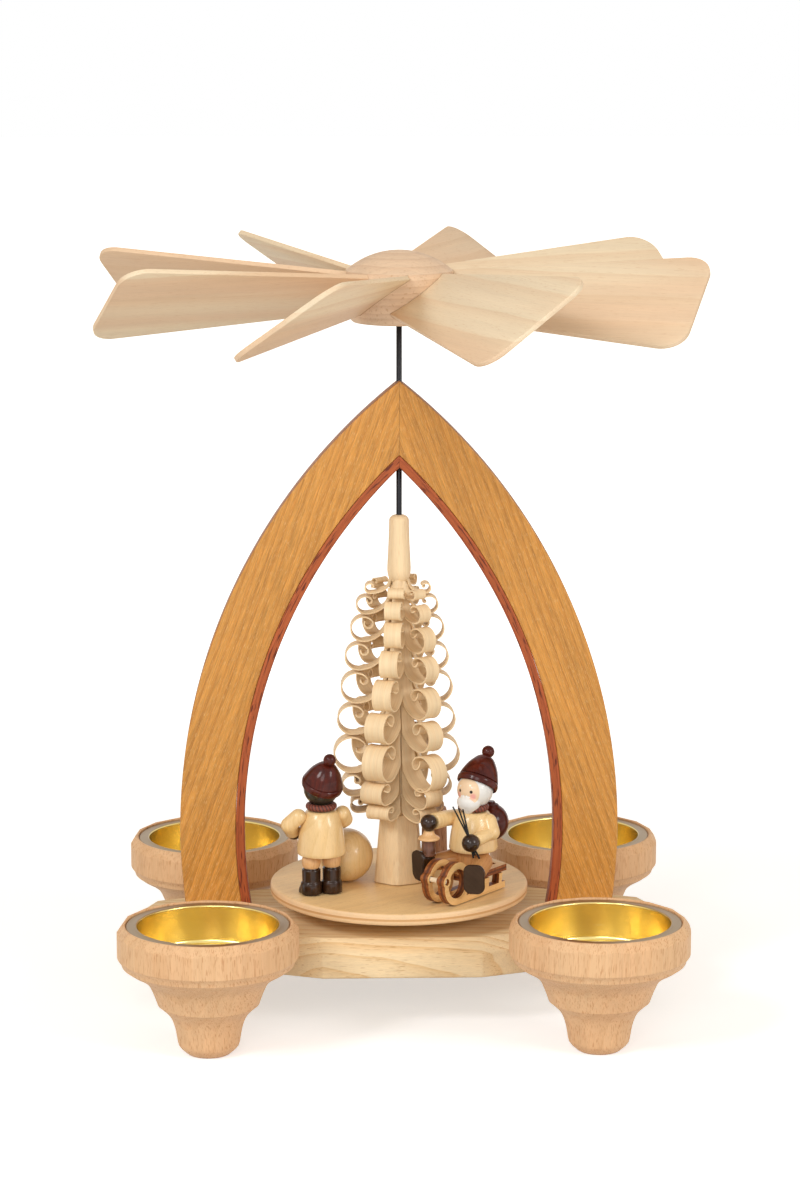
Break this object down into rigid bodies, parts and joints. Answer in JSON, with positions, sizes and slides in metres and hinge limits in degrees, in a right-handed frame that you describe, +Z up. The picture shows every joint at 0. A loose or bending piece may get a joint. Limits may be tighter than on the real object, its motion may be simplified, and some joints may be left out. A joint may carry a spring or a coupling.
{
  "type": "candle carousel",
  "caption": "Wooden table pyramid: tealight cups round an arch, with a rotor of pitched blades that turns a disc with a curled tree, a child, and a bearded man on a sled",
  "frame": {"origin": "on the table top, on the axis of the shaft, midway between the cups", "axes": "+X to the right along the arch, +Y away from the viewer, +Z up along the shaft"},
  "size_m": [0.1778, 0.1778, 0.2297],
  "materials": {
    "beech": "satin, turned",
    "ash": "satin",
    "honey_wood": "satin varnish",
    "red_brown_wood": "stained, satin",
    "brass": "pressed, bright",
    "steel": "dark, smooth",
    "maple": "bare, sanded",
    "shaved_wood": "bare, cut with the grain",
    "varnished_plywood": "varnished",
    "varnished_wood": "clear gloss lacquer",
    "dark_red": "dark red lacquer",
    "boot_brown": "dark brown lacquer",
    "trouser_brown": "orange-brown stain",
    "white_paint": "white paint",
    "burnt_wood": "burnt edges",
    "black_stain": "black stain"
  },
  "bodies": {
    "stand": {"cup_front_left": "beech", "cup_dowel_front_left": "beech", "tealight_insert_front_left": "brass", "cup_front_right": "beech", "cup_dowel_front_right": "beech", "tealight_insert_front_right": "brass", "cup_back_left": "beech", "cup_dowel_back_left": "beech", "tealight_insert_back_left": "brass", "cup_back_right": "beech", "cup_dowel_back_right": "beech", "tealight_insert_back_right": "brass", "base_plate": "ash", "arch_left": "honey_wood", "arch_right": "honey_wood", "liner_left": "red_brown_wood", "liner_right": "red_brown_wood", "upper_bush": "brass", "arch_screw_left": "steel", "arch_screw_right": "steel", "pivot_bearing": "brass"},
    "carousel": {"shaft": "steel", "turntable": "varnished_plywood", "tree": "shaved_wood", "stump": "shaved_wood", "snowball": "varnished_wood", "child_leg_left": "boot_brown", "child_leg_right": "boot_brown", "child_coat": "varnished_wood", "child_scarf": "dark_red", "child_head": "beech", "child_hat": "dark_red", "child_arm_left": "varnished_wood", "child_arm_right": "varnished_wood", "sled_runner_far": "burnt_wood", "sled_runner_near": "burnt_wood", "sled_seat": "burnt_wood", "sled_crossbar": "maple", "man_leg_far": "trouser_brown", "man_leg_near": "trouser_brown", "man_coat": "varnished_wood", "man_scarf": "dark_red", "man_head": "white_paint", "man_hat": "dark_red", "man_sack": "dark_red", "man_arm_near": "varnished_wood", "man_arm_far": "varnished_wood", "twigs": "black_stain", "lantern": "burnt_wood", "rotor_hub": "beech", "blade_1": "maple", "blade_2": "maple", "blade_3": "maple", "blade_4": "maple", "blade_5": "maple", "blade_6": "maple", "blade_7": "maple", "blade_8": "maple"}
  },
  "joints": [
    {"name": "carousel_spin", "type": "hinge", "parent": "stand", "child": "carousel", "pos_m": [0, 0, 0], "axis": [0, 0, 1], "continuous": true}
  ]
}
